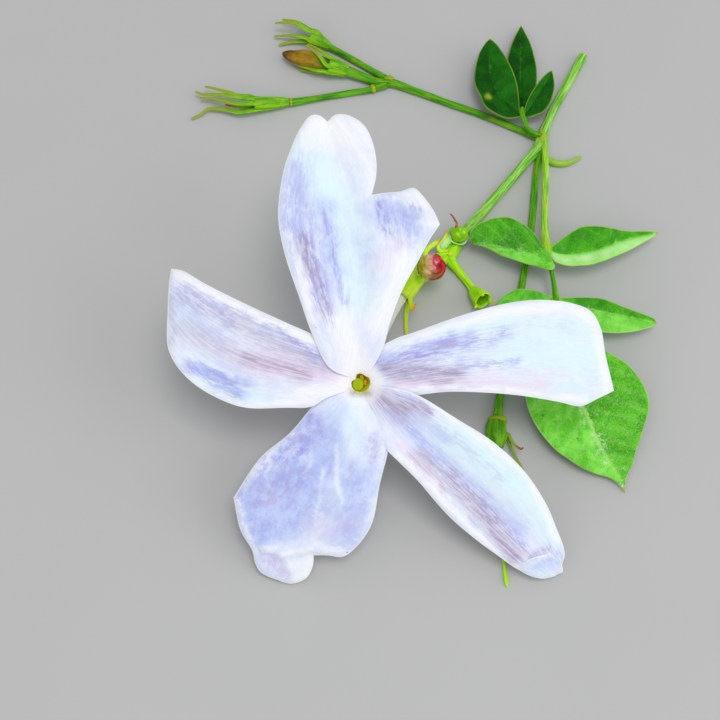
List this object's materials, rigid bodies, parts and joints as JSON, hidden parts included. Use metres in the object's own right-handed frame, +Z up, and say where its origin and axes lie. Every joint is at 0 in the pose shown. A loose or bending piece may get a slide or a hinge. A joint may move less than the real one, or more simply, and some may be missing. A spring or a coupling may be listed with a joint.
{
  "type": "jasmine flower sprig",
  "caption": "Cut sprig of jasmine lying flat: one open white flower with spreading petals, a red bud, spent green calyces, thin green stems and pinnate leaves.",
  "frame": {"origin": "Centre of the bottom of the sprig's bounding box, on the surface it lies on.", "axes": "+Z up from the surface. +Y along the sprig's length, from the lower petals towards the cut end of the stem. +X to the right of the bloom as its face is seen."},
  "size_m": [0.045, 0.0586, 0.0167],
  "materials": {
    "petal": "fresh white petal with lilac veins",
    "anther": "mealy yellow",
    "pistil": "waxy yellow-green",
    "calyx": "waxy bright green",
    "bud": "rosy red, olive at its foot",
    "stem": "smooth mid green",
    "fruit": "glossy green",
    "withered": "dry brown",
    "leaf": "smooth dark green with a pale midrib"
  },
  "bodies": {
    "root": {"corolla": "petal", "anther_1": "anther", "anther_2": "anther", "pistil": "pistil", "flower_calyx": "calyx", "bud": "bud", "bud_calyx": "calyx", "main_stem": "stem", "side_shoot": "stem", "second_shoot": "stem", "bract_1": "calyx", "bract_2": "calyx", "young_fruit": "fruit", "withered_style": "withered", "spent_calyx": "calyx", "side_calyx_1": "calyx", "side_calyx_2": "calyx", "side_calyx_3": "calyx", "withered_corolla": "withered", "second_calyx": "calyx", "second_style": "pistil", "leaf_lower": "leaf", "leaf_upper": "leaf"}
  },
  "joints": []
}
